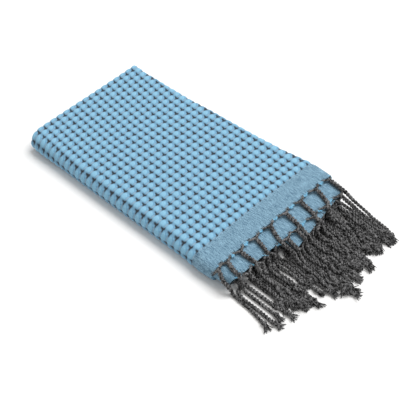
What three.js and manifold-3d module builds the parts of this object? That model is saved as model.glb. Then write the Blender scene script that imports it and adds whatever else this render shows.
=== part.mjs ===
// A honeycomb cotton towel with a plain border and a twisted fringe on both short edges.
// It is folded in four along its length. That packet's long sides are then folded in, and it is
// folded in half over them. One side reaches the round fold and the other ends at the middle.
// X runs along the folded towel, with the fringe at +X. Y runs across it, with the round fold at -Y.
// While it is built, X is 0 at the top hem and Z is 0 at the underside.
import * as THREE from "three";
import { mergeVertices } from "three/addons/utils/BufferGeometryUtils.js";
import Module from "manifold-3d";

const wasm = await Module();
wasm.setup();

// Cloth, in millimetres
const plyThickness = 1.4;
const plyGap = 0.35;
const packetGap = 0.4;
const foldedWidth = 240;
const foldedLength = 376;
const secondHemReach = 29;
const innerFoldBack = 30;
const plyPitch = plyThickness + plyGap;
const packetThickness = 3 * plyPitch + plyThickness;
const packetPitch = packetThickness + packetGap;

// Places along the towel and across it where a section of the cloth is set, in millimetres
const lengthStations = [-340, -200, -48];
const firstHemStations = [0, -9, -24];
const secondHemStations = [-24, -9, -1, 6, 13, secondHemReach];
const widthStations = [60, -16, -44];
const selvedgeBack = 1;
const flapEnd = -12;

// How the cloth moves from its plain folded place, in millimetres: the runs slide apart towards
// the near end, the far end slants, its left corner is drawn in, the plies of the hems lift clear
// of the inner folds, and the hems of the upper run droop.
const slide = { start: -150, end: -25 };
const farSlant = { start: 250, depth: 4 };
const cornerPull = { startX: 300, startY: 88, depth: 15 };
const hemLift = { start: -9, end: 8 };
const hemDroop = { start: 30, end: 50, depth: 2 };

// Fringe, in millimetres
const cordRadius = 2.4;
const cordRootRadius = 0.6;
const cordRootLength = 9;
const cordSides = 5;
const headerGap = 0.45;
const headerWidth = 2.2;
const headerThickness = 1;
const groupPitch = 28.4;
const firstLane = -106;
const lanesPerGroup = 8;
const fringeLength = 112;

// How the cords swing to the left and wander, and how uneven their ends are, in millimetres
const swing = { width: -11, power: 1.6 };
const wander = { width: 1.6, length: 17, lag: 45, start: 10, end: 60 };
const unevenReach = { width: 5, step: 2.4 };
const shortLeft = { depth: 6, gain: 4, start: -90, end: 0 };
const cordShares = [0.27, 0.48, 0.72, 1];
const slopeShare = { x: 70, share: 0.6 };

// The outline seen from above and the height of the stack, row by row along the towel
const outline = [
  { x: -380, left: -117, right: 98, height: 1.05 },
  { x: -350, left: -123, right: 98, height: 1.04 },
  { x: -300, left: -125, right: 99, height: 1.0 },
  { x: -222, left: -124, right: 106, height: 0.97 },
  { x: -123, left: -122, right: 112, height: 0.98 },
  { x: -48, left: -121, right: 121, height: 1.0 },
  { x: -24, left: -124, right: 126, height: 1.0 },
  { x: 0, left: -122, right: 127, height: 1.0 },
  { x: 30, left: -117, right: 120, height: 1.0 },
  { x: 50, left: -115, right: 119, height: 1.0 },
];

// The four runs of the packet across the width, in the order in which the cloth passes through them.
// level counts packets from the underside and outward is the side that the first hem's ply is on.
// shift moves a run's near end along X, at its left end, middle and right end.
// rise is how far a run stands up to the left of the middle, where no packet lies over it.
// lift moves the first and the second hem's ply up or down past the inner folds, where the cords need room.
const runs = [
  { name: "upper", level: 2, outward: -1, rise: 0, shift: [44, 20, 2], lift: { first: 0.2, second: 1.9 } },
  { name: "top", level: 3, outward: 1, rise: 0, shift: [-2, 0, 0], lift: { first: 0, second: -3.3 } },
  { name: "bottom", level: 0, outward: -1, rise: 0, shift: [-4, -1, 2], lift: { first: 0, second: 3.6 } },
  { name: "lower", level: 1, outward: 1, rise: 3.2, shift: [-4, 0, 2], lift: { first: 0, second: -3.2 } },
];

// One row for each hem of each run: the lane that its cords take within a group of eight, the first
// and the last group, the stretch that they reach past the hem, and their height at four places along X.
const cordRows = [
  { run: "top", hem: "first", lane: 0, from: 0, to: 8, reach: 112, z10: 28.9, z35: 25.4, z50: 20.6, z95: 6.9 },
  { run: "bottom", hem: "second", lane: 1, from: 0, to: 7, reach: 98, z10: 6, z35: 5, z50: 2.8, z95: 2.45 },
  { run: "upper", hem: "first", lane: 2, from: 4, to: 7, reach: 110, z10: 14.8, z35: 14.2, z50: 12.4, z95: 6.9 },
  { run: "bottom", hem: "first", lane: 3, from: 0, to: 7, reach: 108, z10: 2.4, z35: 2.4, z50: 2.4, z95: 2.4 },
  { run: "top", hem: "second", lane: 4, from: 0, to: 7, reach: 100, z10: 22, z35: 22.2, z50: 20.45, z95: 6.9 },
  { run: "lower", hem: "first", lane: 5, from: 0, to: 7, reach: 110, z10: 11.5, z35: 11.9, z50: 8.2, z95: 2.45 },
  { run: "upper", hem: "second", lane: 6, from: 3, to: 7, reach: 102, z10: 18, z35: 17, z50: 15.8, z95: 6.9 },
  { run: "lower", hem: "second", lane: 7, from: 0, to: 6, reach: 98, z10: 8, z35: 8, z50: 4.6, z95: 2.45 },
];

const hems = {
  first: { x: 0, n: 1.5 * plyPitch },
  second: { x: secondHemReach, n: 0.5 * plyPitch },
};

const { lerp, smoothstep } = THREE.MathUtils;

function along(table, x, column) {
  const next = Math.max(1, table.findIndex((row) => row.x >= x));
  const after = x > table.at(-1).x ? table.length - 1 : next;
  const before = table[after - 1];
  const share = THREE.MathUtils.clamp((x - before.x) / (table[after].x - before.x), 0, 1);
  return lerp(before[column], table[after][column], share);
}

function riseAt(run, y) {
  return run.rise * smoothstep(-y, -widthStations[1], -widthStations[2]);
}

function runHeight(run) {
  return packetThickness / 2 + run.level * packetPitch;
}

// A station is one place on the path across the width: its point, the packet's outer side,
// and how far along the list of runs it is.
function straightStation(run, y) {
  return { y, z: runHeight(run) + riseAt(run, y), outY: 0, outZ: run.outward, order: runs.indexOf(run) };
}

function turnStations(from, to, centreY, side, segments) {
  const centreZ = (runHeight(from) + runHeight(to)) / 2;
  const radius = Math.abs(runHeight(from) - runHeight(to)) / 2;
  const startUp = Math.sign(runHeight(from) - runHeight(to));
  const outward = startUp * from.outward;
  const stations = [];
  for (let step = 1; step < segments; step += 1) {
    const angle = (Math.PI * step) / segments;
    const outY = side * Math.sin(angle);
    const outZ = startUp * Math.cos(angle);
    stations.push({
      y: centreY + radius * outY,
      z: centreZ + radius * outZ,
      outY: outward * outY,
      outZ: outward * outZ,
      order: runs.indexOf(from) + step / segments,
    });
  }
  return stations;
}

// Round the right side from the upper run to the top one, round the left side to the bottom run,
// and round the right side again to the lower one. The upper run starts at the middle.
function widthPath() {
  const [upper, top, bottom, lower] = runs;
  const wrapRadius = (runHeight(top) - runHeight(bottom)) / 2;
  const wrapY = -foldedWidth / 2 + wrapRadius + packetThickness / 2;
  const backY = foldedWidth / 2 - packetPitch / 2 - packetThickness / 2;
  const selvedgeY = wrapY + selvedgeBack;
  const back = [...widthStations].reverse();
  const run = (which, places) => places.map((y) => straightStation(which, y));
  return [
    ...run(upper, [flapEnd, 0, widthStations[0], backY]),
    ...turnStations(upper, top, backY, 1, 6),
    ...run(top, [backY, ...widthStations, wrapY]),
    ...turnStations(top, bottom, wrapY, -1, 8),
    ...run(bottom, [wrapY, ...back, backY]),
    ...turnStations(bottom, lower, backY, 1, 5),
    ...run(lower, [backY, ...widthStations, selvedgeY]),
  ];
}

function runValue(station, read) {
  const before = runs[Math.floor(station.order)];
  const after = runs[Math.ceil(station.order)];
  return lerp(read(before), read(after), station.order % 1);
}

function nearShift(station, y) {
  const share = y / foldedWidth + 0.5;
  return runValue(station, (run) => {
    const [left, middle, right] = run.shift;
    return share < 0.5 ? lerp(left, middle, share * 2) : lerp(middle, right, share * 2 - 1);
  });
}

function acrossOutline(x, y) {
  return lerp(along(outline, x, "left"), along(outline, x, "right"), y / foldedWidth + 0.5);
}

// The far edge is drawn in where the round fold passes over it.
function cornerShift(x, y) {
  const corner = smoothstep(-y, cornerPull.startY, foldedWidth / 2);
  return cornerPull.depth * corner * corner * smoothstep(-x, cornerPull.startX, foldedLength);
}

// Takes a point of the packet's section, x along the towel and n through the packet, to its place.
function place(x, n, station) {
  const y = station.y + n * station.outY;
  const flatZ = station.z + n * station.outZ;
  const slant = farSlant.depth * smoothstep(-x, farSlant.start, foldedLength) * (y / foldedWidth);
  const slid = nearShift(station, y) * smoothstep(x, slide.start, slide.end);
  const placedX = x + slid + cornerShift(x, y) - slant;
  const hem = n > plyPitch ? "first" : "second";
  const fullLift = n > 0 ? runValue(station, (run) => run.lift[hem]) : 0;
  const lift = fullLift * smoothstep(placedX, hemLift.start, hemLift.end);
  const upperShare = Math.max(0, 1 - station.order);
  const droop = hemDroop.depth * upperShare * smoothstep(placedX, hemDroop.start, hemDroop.end);
  const z = (flatZ + lift - droop) * along(outline, placedX, "height");
  return new THREE.Vector3(placedX, acrossOutline(placedX, y), Math.max(0, z));
}

// Sweeps a flat section, drawn in x and n, along the width path.
function sweep(section) {
  const stations = widthPath();
  const steps = stations.length - 1;
  const geometry = new THREE.ExtrudeGeometry(section, { depth: steps, steps, bevelEnabled: false });
  const position = geometry.attributes.position;
  for (let index = 0; index < position.count; index += 1) {
    const station = stations[Math.round(position.getZ(index))];
    const point = place(position.getX(index), position.getY(index), station);
    position.setXYZ(index, point.x, point.y, point.z);
  }
  return solidOf(geometry);
}

function solidOf(geometry) {
  geometry.deleteAttribute("normal");
  geometry.deleteAttribute("uv");
  const merged = mergeVertices(geometry, 1e-4);
  return new wasm.Manifold(new wasm.Mesh({
    numProp: 3,
    vertProperties: Float32Array.from(merged.attributes.position.array),
    triVerts: Uint32Array.from(merged.index.array),
  }));
}

function geometryOf(solid) {
  const mesh = solid.getMesh();
  const geometry = new THREE.BufferGeometry();
  geometry.setAttribute("position", new THREE.BufferAttribute(mesh.vertProperties, 3));
  geometry.setIndex(new THREE.BufferAttribute(mesh.triVerts, 1));
  geometry.computeVertexNormals();
  return geometry;
}

// The sheet's middle line through the four plies: first hem, round the outer fold at the far end,
// back to the fold at the near end, round the inner fold at the far end, and out to the second hem.
function sheetLine() {
  const returning = [...lengthStations].reverse();
  const farX = -foldedLength;
  const ply = (level) => (level - 1.5) * plyPitch;
  const straight = (level, xs, way) => xs.map((x) => ({ x, n: ply(level), nx: 0, nn: way }));
  const turn = (x, centreN, radius, side, way, segments) => {
    const points = [];
    for (let step = 1; step < segments; step += 1) {
      const angle = (Math.PI * step) / segments;
      const nx = side * Math.sin(angle);
      const nn = way * Math.cos(angle);
      points.push({ x: x + radius * nx, n: centreN + radius * nn, nx, nn });
    }
    return points;
  };
  return [
    ...straight(3, [...firstHemStations, ...returning, farX], 1),
    ...turn(farX, 0, 1.5 * plyPitch, -1, 1, 5),
    ...straight(0, [farX, ...lengthStations, -innerFoldBack], -1),
    ...turn(-innerFoldBack, -plyPitch, plyPitch / 2, 1, -1, 3),
    ...straight(1, [-innerFoldBack, ...returning, farX], 1),
    ...turn(farX, 0, plyPitch / 2, -1, -1, 3).map((point) => ({ ...point, nx: -point.nx, nn: -point.nn })),
    ...straight(2, [farX, ...lengthStations, ...secondHemStations], -1),
  ];
}

function clothSolid() {
  const line = sheetLine();
  const half = plyThickness / 2;
  const side = (point, sign) => new THREE.Vector2(
    point.x + sign * half * point.nx,
    point.n + sign * half * point.nn,
  );
  const outer = line.map((point) => side(point, 1));
  const inner = line.map((point) => side(point, -1)).reverse();
  return sweep(new THREE.Shape([...outer, ...inner]));
}

// The warp ends along a hem, before they are gathered into cords
function headerSolid(hem) {
  const start = hem.x + headerGap;
  const half = headerThickness / 2;
  return sweep(new THREE.Shape([
    new THREE.Vector2(start, hem.n - half),
    new THREE.Vector2(start + headerWidth, hem.n - half),
    new THREE.Vector2(start + headerWidth, hem.n + half),
    new THREE.Vector2(start, hem.n + half),
  ]));
}

// How far a cord has moved across the towel at x, which is the same for all the cords near it
function sway(x, laneY) {
  const drift = swing.width * (Math.max(0, x) / fringeLength) ** swing.power;
  const wave = Math.sin(x / wander.length + laneY / wander.lag);
  return drift + wander.width * wave * smoothstep(x, wander.start, wander.end);
}

// The route of one cord, from inside its header to its tip
function cordRoute(row, index) {
  const run = runs.find((entry) => entry.name === row.run);
  const hem = hems[row.hem];
  const laneY = firstLane + groupPitch * (index + row.lane / lanesPerGroup);
  const rootX = hem.x + headerGap + headerWidth / 2;
  const nearX = rootX + nearShift(straightStation(run, laneY), laneY);
  const rootY = laneY + sway(nearX, laneY);
  const left = along(outline, nearX, "left");
  const right = along(outline, nearX, "right");
  const root = place(rootX, hem.n, straightStation(run, ((rootY - left) / (right - left) - 0.5) * foldedWidth));
  const heights = [
    { x: 10, z: row.z10 + riseAt(run, laneY) },
    { x: 35, z: row.z35 + riseAt(run, laneY) },
    { x: 54, z: row.z50 },
    { x: slopeShare.x, z: lerp(row.z50, row.z95, slopeShare.share) },
    { x: 95, z: row.z95 },
  ];
  const uneven = unevenReach.width * Math.sin(unevenReach.step * index + row.lane);
  const sideReach = shortLeft.gain * smoothstep(laneY, shortLeft.start, shortLeft.end) - shortLeft.depth;
  const reach = row.reach + uneven + sideReach;
  const steps = [0, cordRootLength, ...cordShares.map((share) => share * reach)];
  return steps.map((step) => {
    const x = root.x + step;
    return new THREE.Vector3(x, laneY + sway(x, laneY), step === 0 ? root.z : along(heights, x, "z"));
  });
}

function cordSolid(route) {
  const length = route.length - 1;
  const ring = [];
  for (let side = 0; side < cordSides; side += 1) {
    const angle = (2 * Math.PI * side) / cordSides;
    ring.push(new THREE.Vector2(Math.cos(angle), Math.sin(angle)));
  }
  const geometry = new THREE.ExtrudeGeometry(new THREE.Shape(ring), {
    depth: length,
    steps: length,
    bevelEnabled: false,
  });
  const position = geometry.attributes.position;
  for (let index = 0; index < position.count; index += 1) {
    const station = Math.round(position.getZ(index));
    const radius = station === 0 ? cordRootRadius : cordRadius;
    const centre = route[station];
    position.setXYZ(
      index,
      centre.x,
      centre.y + radius * position.getX(index),
      centre.z + radius * position.getY(index),
    );
  }
  return solidOf(geometry);
}

function fringeSolid(hemName) {
  let comb = headerSolid(hems[hemName]);
  for (const row of cordRows.filter((entry) => entry.hem === hemName)) {
    for (let index = row.from; index <= row.to; index += 1) {
      comb = comb.add(cordSolid(cordRoute(row, index)));
    }
  }
  return comb;
}

const cottonBlue = new THREE.MeshStandardMaterial({ color: 0x7fb2d6, roughness: 0.95, metalness: 0 });
const cottonCharcoal = new THREE.MeshStandardMaterial({ color: 0x4a4c4f, roughness: 0.95, metalness: 0 });

function piece(name, solid, material) {
  const mesh = new THREE.Mesh(geometryOf(solid), material);
  mesh.name = name;
  return mesh;
}

const towel = new THREE.Group();
towel.add(piece("towel_cloth", clothSolid(), cottonBlue));
towel.add(piece("fringe_first_hem", fringeSolid("first"), cottonCharcoal));
towel.add(piece("fringe_second_hem", fringeSolid("second"), cottonCharcoal));

// The origin is in the middle of the whole towel's underside.
const bounds = new THREE.Box3().setFromObject(towel);
const middle = bounds.getCenter(new THREE.Vector3());
towel.position.set(-middle.x, -middle.y, -bounds.min.z);
towel.updateMatrixWorld(true);

export default towel;
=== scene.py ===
# A honeycomb cotton towel, folded flat, with a plain border and a twisted fringe.
# X runs along the towel towards the fringe, Y across it and Z up, as in the frame.
import math

import bmesh
import bpy
import numpy as np
from mathutils import Matrix, Vector


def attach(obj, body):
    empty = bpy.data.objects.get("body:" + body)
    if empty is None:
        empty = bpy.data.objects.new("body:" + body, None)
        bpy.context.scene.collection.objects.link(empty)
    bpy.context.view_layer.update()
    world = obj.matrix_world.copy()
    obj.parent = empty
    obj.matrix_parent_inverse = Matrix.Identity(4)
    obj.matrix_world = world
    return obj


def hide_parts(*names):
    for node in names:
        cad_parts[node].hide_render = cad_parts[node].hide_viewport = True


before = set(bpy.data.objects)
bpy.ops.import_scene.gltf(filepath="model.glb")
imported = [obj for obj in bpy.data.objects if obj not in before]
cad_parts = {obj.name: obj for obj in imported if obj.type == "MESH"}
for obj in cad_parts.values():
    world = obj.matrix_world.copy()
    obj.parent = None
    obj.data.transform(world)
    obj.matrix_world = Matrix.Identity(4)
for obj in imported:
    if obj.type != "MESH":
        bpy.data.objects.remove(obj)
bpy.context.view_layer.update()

# The towel is worked out in millimetres from the middle of the top hem, at floor height.
MM = 0.001
HEM_PLACE = Vector((113.36, -1.49, 0))

# Cloth
PLY_THICKNESS = 1.4
PLY_PITCH = 1.75
PACKET_THICKNESS = 3 * PLY_PITCH + PLY_THICKNESS
PACKET_GAP = 0.4
PACKET_PITCH = PACKET_THICKNESS + PACKET_GAP
FOLDED_LENGTH = 376
SECOND_HEM_REACH = 29
INNER_FOLD_BACK = 30
SELVEDGE_BACK = 1

# Honeycomb cells, along the towel and across it. The lines of dots are at whole numbers of cells.
CELL_LONG = 12.42
CELL_WIDE = 12.7
CELL_START = 0.1
BORDER_CELLS = 2.95

# Heights of the weave above the ground of the cloth, which lies a little inside its solid's face
GROUND_BELOW_FACE = 0.35
PILLOW_HEIGHT = 1.55
RIDGE_HEIGHT = 0.2
PIT_DEPTH = 1.0
PLAIN_HEIGHT = 0.35
HIDDEN_HEIGHT = 0.3

# The far end is skewed, a little shorter than the folded length, and rounded at its left corner
FAR_START = 250
FAR_SLANT = 4
FAR_SHORTER = 5.5
CORNER_PULL = 3.5

# The outline seen from above and the height of the stack, row by row along the towel
OUTLINE = [
    dict(x=-380, left=-124, right=98, height=1.05),
    dict(x=-350, left=-127, right=98, height=1.04),
    dict(x=-300, left=-125, right=99, height=1.0),
    dict(x=-222, left=-124, right=106, height=0.97),
    dict(x=-123, left=-122, right=112, height=0.98),
    dict(x=-48, left=-121, right=121, height=1.0),
    dict(x=-24, left=-124, right=125, height=1.0),
    dict(x=0, left=-122, right=124, height=1.0),
    dict(x=30, left=-117, right=119, height=1.0),
    dict(x=50, left=-115, right=119, height=1.0),
]

# How far the lines of cells stray across the towel, at its left and right side
ROW_DRIFT = [
    dict(x=-380, left=3.8, right=9.5),
    dict(x=-346, left=1.9, right=4.4),
    dict(x=-272, left=-2.5, right=-2.5),
    dict(x=-197, left=-1.3, right=-1.3),
    dict(x=-123, left=0, right=0),
    dict(x=-73, left=2.5, right=-1.3),
    dict(x=-36, left=3.8, right=0),
    dict(x=60, left=3.8, right=0),
]

# The four runs of the packet, in the order in which the cloth passes through them.
# first and second move the near end of the run's two hems along X, at its left end, middle and right end.
# rise is how far a run stands up to the left of the middle, where no packet lies over it.
# lift moves the first and the second hem's ply past the inner folds, where the cords need room.
RUNS = [
    dict(name="upper", level=2, rise=0, first=(44, 20, 2), second=(44, 20, 2),
         lift=dict(first=0.2, second=1.9)),
    dict(name="top", level=3, rise=0, first=(0, 1, 4), second=(-1, 1, 4),
         lift=dict(first=0, second=-3.3)),
    dict(name="bottom", level=0, rise=0, first=(0, -1, 2), second=(-10, -1, 2),
         lift=dict(first=0, second=3.6)),
    dict(name="lower", level=1, rise=3.2, first=(-4, 0, 2), second=(-10, 0, 2),
         lift=dict(first=0, second=-3.2)),
]
RUN_HEIGHT = [PACKET_THICKNESS / 2 + run["level"] * PACKET_PITCH for run in RUNS]
FOLD_RADIUS = PACKET_PITCH / 2
WRAP_RADIUS = 3 * PACKET_PITCH / 2
FOLD_ARC = math.pi * FOLD_RADIUS
WRAP_ARC = math.pi * WRAP_RADIUS

# The flat sheet, across its width, measured from the middle of the top run
RIGHT_SELVEDGE = 249
LEFT_SELVEDGE = -587
FLAP_END = -12


def lerp(a, b, share):
    return a + (b - a) * share


def smoothstep(value, low, high):
    share = min(1, max(0, (value - low) / (high - low)))
    return share * share * (3 - 2 * share)


def along(table, x, column):
    """A value of the table at x, on straight lines from row to row"""
    if x <= table[0]["x"]:
        return table[0][column]
    for before, after in zip(table, table[1:]):
        if x <= after["x"]:
            return lerp(before[column], after[column], (x - before["x"]) / (after["x"] - before["x"]))
    return table[-1][column]


# The way of the sheet along the packet, from the first hem to the second

def straight(start, end, level, face):
    """A flat ply from start to end, whose face looks up for 1 and down for -1"""
    height = (level - 1.5) * PLY_PITCH
    length = abs(end - start)

    def at(s):
        return lerp(start, end, s / length), height, 0, face

    return length, at


def turn(x, level_from, level_to, side, face):
    """A half round between two plies, whose face looks outwards for 1 and inwards for -1"""
    start = (level_from - 1.5) * PLY_PITCH
    end = (level_to - 1.5) * PLY_PITCH
    middle = (start + end) / 2
    radius = abs(start - end) / 2
    way = 1 if start > end else -1
    length = math.pi * radius

    def at(s):
        angle = s / radius
        over = side * math.sin(angle)
        up = way * math.cos(angle)
        return x + radius * over, middle + radius * up, face * over, face * up

    return length, at


SECTION = [
    straight(0, -FOLDED_LENGTH, 3, 1),
    turn(-FOLDED_LENGTH, 3, 0, -1, 1),
    straight(-FOLDED_LENGTH, -INNER_FOLD_BACK, 0, -1),
    turn(-INNER_FOLD_BACK, 0, 1, 1, 1),
    straight(-INNER_FOLD_BACK, -FOLDED_LENGTH, 1, 1),
    turn(-FOLDED_LENGTH, 1, 2, -1, -1),
    straight(-FOLDED_LENGTH, SECOND_HEM_REACH, 2, -1),
]
SHEET_LENGTH = sum(length for length, at in SECTION)


def section_place(s):
    """x and height in the packet of the sheet's middle at s, and the way that its face looks"""
    for length, at in SECTION:
        if s <= length:
            return at(max(0, s))
        s -= length
    length, at = SECTION[-1]
    return at(length)


def width_limits(x):
    """Where the flat runs end at x: at the round fold on the left and at the folds on the right"""
    wrap_y = along(OUTLINE, x, "left") + WRAP_RADIUS + PACKET_THICKNESS / 2
    back_y = along(OUTLINE, x, "right") - FOLD_RADIUS - PACKET_THICKNESS / 2
    return wrap_y, back_y


def width_place(t, x):
    """The packet's middle at t across the sheet: y, z, its outer side, and its place in the runs"""
    wrap_y, back_y = width_limits(x)
    selvedge_y = wrap_y + SELVEDGE_BACK
    upper, top, bottom, lower = range(4)

    def arc(centre, radius, side, angle, start, face):
        middle_z = (RUN_HEIGHT[start] + RUN_HEIGHT[start + 1]) / 2
        way = 1 if RUN_HEIGHT[start] > RUN_HEIGHT[start + 1] else -1
        out_y = side * math.sin(angle)
        out_z = way * math.cos(angle)
        order = start + angle / math.pi
        return centre + radius * out_y, middle_z + radius * out_z, face * out_y, face * out_z, order

    if t > back_y + FOLD_ARC:
        start = back_y + FOLD_ARC
        share = (t - start) / (RIGHT_SELVEDGE - start)
        return lerp(back_y, FLAP_END, share), RUN_HEIGHT[upper], 0, -1, upper
    if t > back_y:
        return arc(back_y, FOLD_RADIUS, 1, math.pi - (t - back_y) / FOLD_RADIUS, upper, 1)
    if t >= wrap_y:
        return t, RUN_HEIGHT[top], 0, 1, top
    if t > wrap_y - WRAP_ARC:
        return arc(wrap_y, WRAP_RADIUS, -1, (wrap_y - t) / WRAP_RADIUS, top, 1)
    gone = wrap_y - WRAP_ARC - t
    run = back_y - wrap_y
    if gone <= run:
        return wrap_y + gone, RUN_HEIGHT[bottom], 0, -1, bottom
    if gone < run + FOLD_ARC:
        return arc(back_y, FOLD_RADIUS, 1, (gone - run) / FOLD_RADIUS, bottom, 1)
    start = wrap_y - WRAP_ARC - run - FOLD_ARC
    share = (start - t) / (start - LEFT_SELVEDGE)
    y = lerp(back_y, selvedge_y, share)
    return y, RUN_HEIGHT[lower] + RUNS[lower]["rise"] * smoothstep(-y, 16, 44), 0, 1, lower


def across(run_name, y):
    """The place across the flat sheet that lies at y in the named run, at the hems"""
    wrap_y, back_y = width_limits(0)
    drift = lerp(ROW_DRIFT[-1]["left"], ROW_DRIFT[-1]["right"], smoothstep(y, -110, 110))
    run = back_y - wrap_y
    if run_name == "top":
        return y - drift
    if run_name == "upper":
        start = back_y + FOLD_ARC
        return start + (RIGHT_SELVEDGE - start) * (back_y - y) / (back_y - FLAP_END)
    if run_name == "bottom":
        return wrap_y - WRAP_ARC - (y - wrap_y)
    start = wrap_y - WRAP_ARC - run - FOLD_ARC
    return start - (start - LEFT_SELVEDGE) * (back_y - y) / (run - SELVEDGE_BACK)


def run_value(order, read):
    """What read gives for the run at order, or between two runs on the fold that joins them"""
    before = RUNS[math.floor(order)]
    after = RUNS[math.ceil(order)]
    return lerp(read(before), read(after), order % 1)


def near_shift(order, share, hem):
    """How far the near end lies past its plain place, at a share of the width and a place in the runs"""
    def read(run):
        left, middle, right = run[hem]
        if share < 0.5:
            return lerp(left, middle, share * 2)
        return lerp(middle, right, share * 2 - 1)

    return run_value(order, read)


def top_waves(x, y):
    """Soft unevenness of the whole stack, strongest towards the border"""
    slow = 0.5 * math.sin(x / 61 + y / 90) + 0.35 * math.sin(y / 37 - x / 140 + 1.3)
    near = smoothstep(x, -60, 0)
    return slow + 0.3 * near * math.sin(y / 10.2 + x / 45)


def fold(s, t, h):
    """Takes a place on the flat sheet, h above its middle, to its place in the folded towel"""
    x, n, face_x, face_n = section_place(s)
    x += h * face_x
    n += h * face_n
    side = smoothstep(t, -110, 110)
    t += lerp(along(ROW_DRIFT, x, "left"), along(ROW_DRIFT, x, "right"), side)
    placed_x = x
    hem = "first" if n > PLY_PITCH else "second"
    # The outline depends on x, and x on the place in the outline, so both are worked out twice
    for attempt in range(2):
        y, z, out_y, out_z, order = width_place(t, placed_x)
        left = along(OUTLINE, placed_x, "left")
        right = along(OUTLINE, placed_x, "right")
        share = (y + n * out_y - left) / (right - left)
        slant = FAR_SLANT * smoothstep(-x, FAR_START, FOLDED_LENGTH) * (share - 0.5)
        slid = near_shift(order, share, hem) * smoothstep(x, -150, -25)
        corner = smoothstep(-240 * (share - 0.5), 88, 120)
        pull = CORNER_PULL * corner * corner * smoothstep(-x, 300, FOLDED_LENGTH)
        shorter = FAR_SHORTER * smoothstep(-x, FAR_START, FOLDED_LENGTH)
        placed_x = x + slid + pull + shorter - slant
    lift = 0
    if n > 0:
        lift = run_value(order, lambda run: run["lift"][hem]) * smoothstep(placed_x, -9, 8)
    droop = 2 * max(0, 1 - order) * smoothstep(placed_x, 30, 50)
    height = along(OUTLINE, placed_x, "height")
    z = (z + n * out_z + lift - droop) * height
    y += n * out_y
    wave = top_waves(placed_x, y) * smoothstep(z, 6, 26)
    return Vector((placed_x, y, max(0, z + wave)))


# The weave

def pillow(distance):
    """Height share of a cell at a distance, in cells, from the line of dots"""
    return math.sin(math.pi * distance) ** 0.65


def border_share(u, last):
    """1 on the plain borders at both hems and 0 on the honeycomb"""
    near = min(u, last - u)
    return 1 - smoothstep(near, BORDER_CELLS - 0.12, BORDER_CELLS + 0.06)


def relief(u, v, last):
    """Height of the weave above the ground of the cloth, u cells along it and v across"""
    du = abs(u - round(u))
    dv = abs(v - round(v))
    dome = pillow(du) * pillow(dv)
    pit = math.exp(-((du / 0.2) ** 2) - (dv / 0.16) ** 2)
    weave = PILLOW_HEIGHT * dome + RIDGE_HEIGHT * (pillow(du) + pillow(dv)) / 2 - PIT_DEPTH * pit
    return lerp(weave, PLAIN_HEIGHT, border_share(u, last))


def stations(start, end, step):
    """Even places from start to end, about a step apart"""
    count = max(1, round(abs(end - start) / step))
    return [lerp(start, end, index / count) for index in range(count + 1)]


def cut_lines(places):
    """Sorted places with no two nearer than half a millimetre"""
    kept = []
    for place in sorted(places):
        if not kept or place - kept[-1] > 0.5:
            kept.append(place)
    return kept


def length_lines():
    """Cuts across the sheet's length: whole cells on the first ply, folds and hems elsewhere"""
    lines = [0, SHEET_LENGTH]
    cells = int(FOLDED_LENGTH / CELL_LONG)
    lines += [(cell - CELL_START) * CELL_LONG for cell in range(1, cells + 1)]
    s = 0
    for length, at in SECTION:
        step = 1.7 if length < 10 else CELL_LONG
        if s > 0:
            lines += stations(s, s + length, step)
        s += length
    return cut_lines(lines)


def width_lines():
    """Cuts across the sheet's width: whole cells and the two selvedges"""
    first = math.ceil(LEFT_SELVEDGE / CELL_WIDE)
    last = math.floor(RIGHT_SELVEDGE / CELL_WIDE)
    lines = [LEFT_SELVEDGE, RIGHT_SELVEDGE]
    lines += [cell * CELL_WIDE for cell in range(first, last + 1)]
    return cut_lines(lines)


def flat_grid(bm, s_lines, t_lines):
    """The flat sheet, cut along both sets of lines"""
    size = 0.5
    bmesh.ops.create_grid(bm, x_segments=len(s_lines) - 1, y_segments=len(t_lines) - 1, size=size)
    for vert in bm.verts:
        i = round((vert.co.x + size) / (2 * size) * (len(s_lines) - 1))
        j = round((vert.co.y + size) / (2 * size) * (len(t_lines) - 1))
        vert.co = (s_lines[i], t_lines[j], 0)


def weave_finely(bm, s_range, t_range, steps):
    """Divides the face side of a stretch of the flat sheet, first along it and then across"""
    slack = 0.01
    for axis in (0, 1):
        groups = {}
        for edge in bm.edges:
            a, b = (vert.co for vert in edge.verts)
            if a.z < 0.5 or b.z < 0.5:
                continue
            if min(a.x, b.x) < s_range[0] - slack or max(a.x, b.x) > s_range[1] + slack:
                continue
            if min(a.y, b.y) < t_range[0] - slack or max(a.y, b.y) > t_range[1] + slack:
                continue
            length = abs(a[axis] - b[axis])
            if abs(a[1 - axis] - b[1 - axis]) > slack:
                continue
            cuts = round(length / steps[axis]) - 1
            if cuts > 0:
                groups.setdefault(cuts, []).append(edge)
        for cuts, edges in groups.items():
            bmesh.ops.subdivide_edges(bm, edges=edges, cuts=cuts)


def nearest_line(lines, value):
    return min(lines, key=lambda line: abs(line - value))


def new_piece(name, mesh, materials):
    piece = bpy.data.objects.new(name, mesh)
    bpy.context.scene.collection.objects.link(piece)
    for material in materials:
        mesh.materials.append(material)
    return piece


def to_frame(bm):
    """From the towel's millimetres to the frame's metres"""
    matrix = Matrix.Scale(MM, 4) @ Matrix.Translation(HEM_PLACE)
    bmesh.ops.transform(bm, matrix=matrix, verts=bm.verts)


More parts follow.
